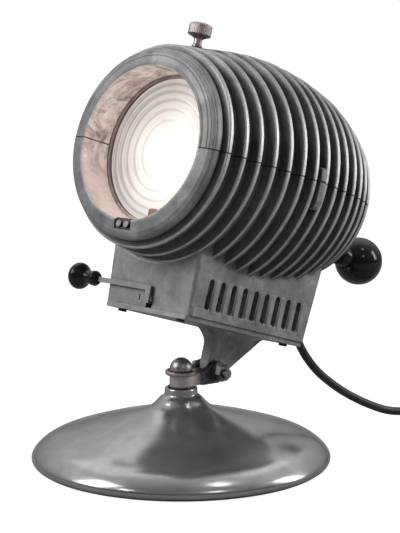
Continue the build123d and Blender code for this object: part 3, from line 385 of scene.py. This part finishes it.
MAT = {
    "cast_aluminium": cast_aluminium(),
    "base_metal": base_metal(),
    "steel": metal("steel", (0.40, 0.395, 0.385)),
    "nickel": metal("nickel", (0.40, 0.345, 0.335), (0.30, 0.44), spots=0.12, bump=0.00008),
    "black_knob": bakelite(),
    "blackened_steel": metal("blackened_steel", (0.055, 0.055, 0.058), (0.35, 0.5), 0.8, dirt=(0.02, 0.02, 0.02), edge_c=(0.25, 0.25, 0.25)),
    "lens_glass": lens_lit(),
    "bulb_glass": glassy("bulb_glass", (1.0, 0.98, 0.94)),
    "tungsten": metal("tungsten", (0.45, 0.42, 0.40)),
    "mirror_metal": metal("mirror_metal", (0.82, 0.82, 0.82), (0.06, 0.16), 1.0, bump=0.00005, spots=0.1),
    "ceramic": plain("ceramic", (0.74, 0.71, 0.64), (0.2, 0.35)),
    "brass": metal("brass", (0.42, 0.26, 0.13), (0.3, 0.5)),
    "black_rubber": rubber(),
    "felt": plain("felt", (0.05, 0.055, 0.05), (0.85, 0.95), 0.0006, 2.0, 0.5),
    "fibre": plain("fibre", (0.035, 0.026, 0.022), (0.5, 0.7)),
    "lead_sleeve": plain("lead_sleeve", (0.55, 0.50, 0.40), (0.7, 0.85), 0.0004, 2.0),
}
slot_of = {p["node"]: p["material_slot"] for p in frame["record"]["subparts"]}
for name, ob in N.items():
    ob.data.materials.clear()
    ob.data.materials.append(MAT[slot_of[name]])
for name, mat in (("swivel_arm", arm_metal()),
                  ("tilt_nut", metal("dark_steel", (0.20, 0.20, 0.205), (0.28, 0.42), edge_c=(0.5, 0.5, 0.5))),
                  ("lens_clips", metal("heat_brown", (0.20, 0.115, 0.085), (0.4, 0.55), 0.5))):
    N[name].data.materials[0] = mat
dull = metal("dull_steel", (0.26, 0.258, 0.25), (0.42, 0.55), edge_c=(0.42, 0.42, 0.41))
for name in ("focus_lever", "catch_screws"):
    N[name].data.materials[0] = dull
for name in ("tilt_bolt", "tilt_washers"):
    N[name].data.materials[0] = bpy.data.materials["dark_steel"]


# ------------------------------------------------------------------ stage, light and camera
def mesh_obj(name, verts, faces, mat=None, smooth=True):
    me = bpy.data.meshes.new(name)
    me.from_pydata([tuple(v) for v in verts], [], faces)
    me.validate(); me.update()
    if smooth:
        for p in me.polygons:
            p.use_smooth = True
    o = bpy.data.objects.new(name, me)
    bpy.context.scene.collection.objects.link(o)
    if mat:
        me.materials.append(mat)
    return o


floor = mesh_obj("floor", [(-6, -6, 0), (6, -6, 0), (6, 6, 0), (-6, 6, 0)], [(0, 1, 2, 3)])
fm = M("floor_white")
fm.set(Base_Color=fm.mix(fm.rng(fm.noise(3.0), 0.3, 0.7), (0.34, 0.34, 0.35), (0.36, 0.36, 0.37)), Roughness=0.8)
cam_ray = fm.n("ShaderNodeLightPath").outputs["Is Camera Ray"]
fm.set(Emission_Color=(1, 1, 1), Emission_Strength=fm.mixf(cam_ray, 0.0, 0.86))
floor.data.materials.append(fm.m)


# ------------------------------------------------------------------ pieces built in mesh code
def rounded(pts, rad, seg=3):
    """a polyline with its corners rounded: pts (a, b) or (a, b, radius); the ends stay sharp"""
    out = []
    n = len(pts)
    for i, p in enumerate(pts):
        q = Vector(p[:2]); rr = p[2] if len(p) > 2 else rad
        if i in (0, n - 1) or rr <= 0:
            out.append(q); continue
        a = Vector(pts[i - 1][:2]) - q; b = Vector(pts[i + 1][:2]) - q
        la, lb = a.length, b.length
        if la < 1e-9 or lb < 1e-9:
            continue
        a.normalize(); b.normalize()
        ang = a.angle(b)
        if ang > math.pi - 0.05:
            out.append(q); continue
        d = min(rr / max(math.tan(ang / 2), 0.05), la * 0.45, lb * 0.45)
        p0, p1 = q + a * d, q + b * d
        for k in range(seg + 1):
            t = k / seg
            out.append(p0 * (1 - t) ** 2 + q * 2 * t * (1 - t) + p1 * t ** 2)
    return out


def lathe(name, prof, origin, axis, seg, mat, body, replaces=(), wave=None, smooth=True):
    """prof: (distance along axis, radius) in mm, closed ends lie on the axis or join up"""
    ax = Vector(axis).normalized()
    u = ax.orthogonal().normalized(); v = ax.cross(u)
    o = Vector(origin)
    verts, faces, rows = [], [], []
    for (a, r) in prof:
        row = []
        if r < 1e-6:
            verts.append(o + ax * a / 1000); row = [len(verts) - 1] * seg
        else:
            for k in range(seg):
                t = 2 * math.pi * k / seg
                rr = r if wave is None else r + wave(a, r, t)
                verts.append(o + ax * a / 1000 + (u * math.cos(t) + v * math.sin(t)) * rr / 1000)
                row.append(len(verts) - 1)
        rows.append(row)
    m = len(rows)
    closed = (Vector(prof[0]) - Vector(prof[-1])).length < 1e-6
    if closed:
        rows[-1] = rows[0]
    for i in range(m - 1):
        for k in range(seg):
            k2 = (k + 1) % seg
            f = [rows[i][k], rows[i][k2], rows[i + 1][k2], rows[i + 1][k]]
            g = []
            for w in f:
                if w not in g:
                    g.append(w)
            if len(g) >= 3:
                faces.append(g)
    ob = mesh_obj(name, verts, faces, mat, smooth)
    bm = bmesh.new(); bm.from_mesh(ob.data)
    bmesh.ops.remove_doubles(bm, verts=bm.verts, dist=1e-7)
    loose = [w for w in bm.verts if not w.link_faces]
    bmesh.ops.delete(bm, geom=loose, context="VERTS")
    bmesh.ops.recalc_face_normals(bm, faces=bm.faces)
    bm.to_mesh(ob.data); bm.free()
    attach(ob, body)
    if replaces:
        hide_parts(*replaces)
    return ob


def tube(name, pts, rad, mat, seg=24, ends="round"):
    """a swept round bar through world points, with domed ends"""
    P = [Vector(p) for p in pts]
    T = [(P[min(i + 1, len(P) - 1)] - P[max(i - 1, 0)]).normalized() for i in range(len(P))]
    u = T[0].orthogonal().normalized()
    verts, faces, rows = [], [], []

    def ring(c, t, uu, r):
        vv = t.cross(uu)
        row = []
        for k in range(seg):
            a = 2 * math.pi * k / seg
            verts.append(c + (uu * math.cos(a) + vv * math.sin(a)) * r); row.append(len(verts) - 1)
        rows.append(row)
    uu = u
    for i, c in enumerate(P):
        uu = (uu - T[i] * uu.dot(T[i])).normalized()
        if i == 0:
            for a in (75, 50, 25):
                q = math.radians(a); ring(c - T[0] * rad * 0.35 * math.sin(q), T[0], uu, rad * math.cos(q))
        ring(c, T[i], uu, rad)
        if i == len(P) - 1:
            for a in (25, 50, 75):
                q = math.radians(a); ring(c + T[i] * rad * 0.35 * math.sin(q), T[i], uu, rad * math.cos(q))
    for i in range(len(rows) - 1):
        for k in range(seg):
            k2 = (k + 1) % seg
            faces.append([rows[i][k], rows[i][k2], rows[i + 1][k2], rows[i + 1][k]])
    faces.append(list(reversed(rows[0]))); faces.append(rows[-1])
    ob = mesh_obj(name, verts, faces, mat)
    bm = bmesh.new(); bm.from_mesh(ob.data); bmesh.ops.recalc_face_normals(bm, faces=bm.faces); bm.to_mesh(ob.data); bm.free()
    return ob


def catmull(ctrl, n):
    P = [Vector(c) for c in ctrl]
    P = [P[0] * 2 - P[1]] + P + [P[-1] * 2 - P[-2]]
    out = []
    for i in range(1, len(P) - 2):
        a, b, c, d = P[i - 1:i + 3]
        for k in range(n):
            t = k / n
            out.append(0.5 * ((2 * b) + (c - a) * t + (2 * a - 5 * b + 4 * c - d) * t * t + (3 * b - a - 3 * c + d) * t ** 3))
    out.append(P[-2])
    return out


def arc(cx, cy, r, a0, a1, n):
    return [(cx + r * math.cos(math.radians(a0 + (a1 - a0) * i / n)), cy + r * math.sin(math.radians(a0 + (a1 - a0) * i / n))) for i in range(n + 1)]


# stepped lens: a domed centre, then zones that each repeat the slope of a thicker lens
zones = [0.0, 15.0, 25.0, 34.0, 42.0, 49.0, 55.0, 59.7]
prof = [(31.4, 0.0), (31.4, 61.2), (30.9, 61.8), (26.6, 61.8), (26.1, 61.2), (26.1, 59.7)]
for i in range(len(zones) - 1, 1, -1):
    a, b = zones[i - 1], zones[i]
    for k in range(7):
        t = k / 6
        prof.append((25.9 - 3.3 * math.sin(t * math.pi / 2) ** 1.2, b - (b - a - 0.25) * t))
    prof.append((25.6, a + 0.02))
for k in range(1, 13):
    t = k / 12
    prof.append((20.9 + 4.6 * (1 - t) ** 2, 15.0 * (1 - t)))
prof[-1] = (20.9, 0.0)
lathe("lens_stepped", prof, C0, AXY, 144, MAT["lens_glass"], "head", ("fresnel_lens",))

# rear ball handle, with a faint moulding line round it
ball = [(283.0 - 10.4, 5.1), (283.0 - 10.2, 8.0), (283.0 - 9.4, 8.9), (283.0 - 3.0, 9.0), (284.5, 9.6)]
ball = [(272.9, 5.1), (272.9, 8.0), (273.7, 8.9), (282.0, 9.0), (284.6, 9.9)]
bc, br = 305.2, 21.95
a0 = math.degrees(math.acos((284.9 - bc) / br))
for i in range(61):
    a = math.radians(a0 + (0 - a0) * i / 60)
    seam = 0.10 * math.exp(-((math.degrees(a) - 90) / 1.4) ** 2)
    ball.append((bc + (br + seam - 0.1) * math.cos(a), max(0.0, (br + seam - 0.1) * math.sin(a)) if i < 60 else 0.0))
lathe("ball_rear", ball, W(0, 0, -39.7), AXY, 96, MAT["black_knob"], "head", ("handle_ball",))

# focus knob: ball, waist and collar in one moulding
KX = -76.6
kn = []
for i in range(41):
    a = math.radians(180 - 128 * i / 40)
    kn.append((-3.1 + 8.4 * math.cos(a), 0.0 if i == 0 else 11.3 * math.sin(a)))
kn += rounded([kn.pop(), (6.2, 5.6, 2.0), (9.0, 4.9, 1.5), (11.4, 5.0, 0.8), (12.4, 6.3, 0.9), (16.2, 6.4, 1.2), (19.3, 4.2, 0.9), (19.7, 2.9, 0.3), (19.8, 2.6)], 0.5, 4)
kn += [(19.8, 2.6), (13.0, 2.55), (13.0, 0.0)]
lathe("knob_focus", kn, W(KX, 37.5, -110.6), (1, 0, 0), 72, MAT["black_knob"], "carriage", ("focus_knob",))

# cord: one smooth run that leaves the grommet with the head and lies with the cord body
gp = W(15, 0, -112)
P0 = W(15, 199.6, -112)
ctrl = [W(15, 195.8, -112), P0, (0.0152, P0.y + 0.0105, P0.z - 0.0065), (0.0160, 0.1368, 0.0771), (0.0180, 0.1484, 0.0615), (0.0210, 0.1620, 0.0480), (0.0270, 0.1855, 0.0307),
        (0.0340, 0.2125, 0.0160), (0.0410, 0.2360, 0.0070), (0.0500, 0.2620, 0.0041), (0.0592, 0.2886, 0.0041)]
cord = tube("cord_run", catmull(ctrl, 9), 0.00372, MAT["black_rubber"], 28)
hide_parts("power_cord")
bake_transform(cord)

# knurled lock screw
def knurl(a, r, t):
    if 98.9 < a < 107.9 and r > 8.9:
        return 0.32 * abs(math.sin(t * 21)) - 0.3
    return 0.0
pr = rounded([(69.6, 0.0), (69.6, 2.2, 0.2), (70.4, 2.95, 0.2), (88.4, 2.95, 0.1), (89.2, 4.3, 0.4), (90.4, 4.4, 0.4), (91.4, 3.5, 0.4), (96.0, 3.5, 0.4), (97.4, 5.6, 0.8), (98.2, 6.6, 0.3), (98.5, 8.3, 0.4), (99.3, 9.5, 0.3)], 0.3, 3)
pr += [(99.3 + 0.7 * i, 9.5) for i in range(1, 12)]
pr += rounded([(107.4, 9.5), (108.3, 8.6, 0.5), (108.9, 7.2, 0.4), (108.7, 5.6, 0.5), (109.3, 2.0, 0.8), (109.3, 0.0)], 0.4, 3)
lathe("lock_screw_knurled", pr, W(0, 36.5, 0), AXZ, 168, MAT["nickel"], "lock_screw", ("lens_lock_screw",), wave=knurl)

# dome nut, its dished washer and the dish base, turned smooth
cn = rounded([(76.45, 4.05), (76.45, 9.0, 0.3), (77.0, 9.4, 0.3), (78.2, 9.55, 0.4)], 0.3, 3) + [(78.3 + 9.55 * math.sin(math.radians(a)), 9.55 * math.cos(math.radians(a))) for a in range(4, 90, 5)] + [(87.85, 0.0)]
cn = [(84.3, 0.0), (84.3, 4.05)] + cn
lathe("dome_nut", cn, (0, 0, 0), (0, 0, 1), 72, MAT["steel"], "cap_nut", ("cap_nut",))
cw = rounded([(73.7, 4.1), (73.7, 12.5, 0.3), (74.4, 13.4, 0.4), (76.4, 13.55, 0.5), (77.4, 12.5, 0.5), (77.2, 11.3, 0.6), (76.3, 10.2, 0.4), (76.25, 4.1)], 0.4, 4) + [(73.7, 4.1)]
lathe("dished_washer", cw, (0, 0, 0), (0, 0, 1), 72, MAT["steel"], "swivel", ("cap_washer",))
bo = [(62.75, 13.2, 0.3), (62.0, 13.7, 0.3), (57.6, 13.9, 0.6), (56.2, 15.2, 0.6), (54.6, 17.5, 1.5), (52.6, 19.4), (49.9, 21.8), (46.9, 25.4), (43.9, 30.6), (40.9, 38.8), (37.9, 48.8), (34.9, 59.8),
      (31.9, 71.2), (29.9, 78.4), (27.9, 85.0), (25.8, 91.8), (23.6, 98.8), (21.4, 105.2), (19.4, 110.2), (17.4, 114.0), (15.3, 117.2), (12.6, 120.4),
      (9.8, 123.0), (7.2, 124.6), (5.2, 125.0), (3.2, 124.6), (1.6, 123.4), (0.8, 121.6)]
bi = [(0.8, 117.0), (4.0, 117.0), (11.0, 113.6), (15.4, 108.0), (19.4, 98.0), (23.6, 85.0), (27.6, 71.0), (30.6, 59.0), (33.4, 48.0), (36.2, 38.0), (38.6, 28.0), (40.0, 17.0), (39.0, 16.0), (30.0, 16.0), (30.0, 4.02), (62.75, 4.02)]
pts = [Vector((a[0], a[1], 0)) for a in bo[4:]]
curve = [(v.x, v.y) for v in catmull(pts, 4)]
prof = rounded([(62.75, 4.02), (62.75, 13.2, 0.4), (62.0, 13.7, 0.4), (57.6, 13.9, 1.0), (56.2, 15.2, 0.8), curve[0]], 0.4, 3)[:-1] + curve + rounded([curve[-1]] + bi, 1.0, 2)[1:]
lathe("dish_base", prof, (0, 0, 0), (0, 0, 1), 200, MAT["base_metal"], "base", ("base_dish",))

world = bpy.data.worlds.new("studio")
bpy.context.scene.world = world
world.use_nodes = True
wt = world.node_tree
wt.nodes.clear()
wo = wt.nodes.new("ShaderNodeOutputWorld")
lp = wt.nodes.new("ShaderNodeLightPath")
mx = wt.nodes.new("ShaderNodeMixShader")
white = wt.nodes.new("ShaderNodeBackground"); white.inputs[0].default_value = (1, 1, 1, 1); white.inputs[1].default_value = 1.0
amb = wt.nodes.new("ShaderNodeBackground"); amb.inputs[1].default_value = 0.80
tc = wt.nodes.new("ShaderNodeTexCoord")
sx = wt.nodes.new("ShaderNodeSeparateXYZ")
rp = wt.nodes.new("ShaderNodeValToRGB")
rp.color_ramp.elements[0].position = 0.0; rp.color_ramp.elements[0].color = (0.17, 0.17, 0.185, 1)
rp.color_ramp.elements[1].position = 0.62; rp.color_ramp.elements[1].color = (1.0, 1.0, 1.0, 1)
fr = wt.nodes.new("ShaderNodeVectorMath"); fr.operation = "DOT_PRODUCT"; fr.inputs[1].default_value = (0.681, -0.732, 0.0)
fm2 = wt.nodes.new("ShaderNodeMapRange"); fm2.interpolation_type = "SMOOTHSTEP"
for k, v in ((1, -0.45), (2, 0.50), (3, 1.0), (4, 0.27)):
    fm2.inputs[k].default_value = v
ml = wt.nodes.new("ShaderNodeMath"); ml.operation = "MULTIPLY"; ml.inputs[1].default_value = 0.86
wt.links.new(tc.outputs["Generated"], sx.inputs[0]); wt.links.new(sx.outputs[2], rp.inputs[0]); wt.links.new(rp.outputs[0], amb.inputs[0])
wt.links.new(tc.outputs["Generated"], fr.inputs[0]); wt.links.new(fr.outputs["Value"], fm2.inputs[0]); wt.links.new(fm2.outputs[0], ml.inputs[0]); wt.links.new(ml.outputs[0], amb.inputs[1])
wt.links.new(lp.outputs["Is Camera Ray"], mx.inputs[0]); wt.links.new(amb.outputs[0], mx.inputs[1]); wt.links.new(white.outputs[0], mx.inputs[2])
wt.links.new(mx.outputs[0], wo.inputs[0])


def area(name, loc, target, size, size_y, power, color=(1, 1, 1)):
    ld = bpy.data.lights.new(name, "AREA")
    ld.shape = "RECTANGLE"; ld.size = size; ld.size_y = size_y; ld.energy = power; ld.color = color
    o = bpy.data.objects.new(name, ld)
    bpy.context.scene.collection.objects.link(o)
    o.location = loc
    o.rotation_euler = (Vector(target) - Vector(loc)).to_track_quat("-Z", "Y").to_euler()
    return o


CAM = Vector((1.0142, -1.0677, 0.4061))
RIGHT = Vector((0.7321, 0.6812, 0.0018)); BACK = Vector((0.672, -0.7226, 0.1619)); UP = BACK.cross(RIGHT)
mid = Vector((0, 0, 0.2))
area("key_back", mid - BACK * 0.9 + Vector((0, 0, 1.6)), mid, 2.2, 1.2, 4)
area("soft_left", mid - RIGHT * 1.35 + BACK * 0.35 + Vector((0, 0, 0.85)), mid, 0.6, 0.9, 12)
area("soft_right", mid + RIGHT * 1.5 - BACK * 0.10 + Vector((0, 0, 0.50)), mid, 0.35, 0.8, 8)
for nm, (a, b, c), pw in (("spot_a", (0.414, 0.40, 0.816), 1.3), ("spot_b", (0.36, 0.85, 0.378), 1.6), ("spot_c", (-0.61, 0.42, 0.67), 1.3)):
    area(nm, mid + (RIGHT * a + UP * b + BACK * c) * 1.8, mid, 0.20, 0.20, pw)

# the lit lamp warms the collar in front of the lens
pl = bpy.data.lights.new("lamp_glow", "POINT")
pl.energy = 0.21; pl.color = (1.0, 0.90, 0.84); pl.shadow_soft_size = 0.03
po = bpy.data.objects.new("lamp_glow", pl)
bpy.context.scene.collection.objects.link(po)
po.location = W(4, 9, -3)

cd = bpy.data.cameras.new("camera")
cam = bpy.data.objects.new("camera", cd)
bpy.context.scene.collection.objects.link(cam)
cd.sensor_fit = "AUTO"; cd.sensor_width = 36.0; cd.lens = 36.0 * 1809.46 / 533.0
cd.clip_start = 0.01; cd.clip_end = 50
rot = Matrix((RIGHT, UP, BACK)).transposed()
cam.matrix_world = Matrix.Translation(CAM) @ rot.to_4x4()
bpy.context.scene.camera = cam
bpy.context.scene.view_settings.view_transform = "Standard"
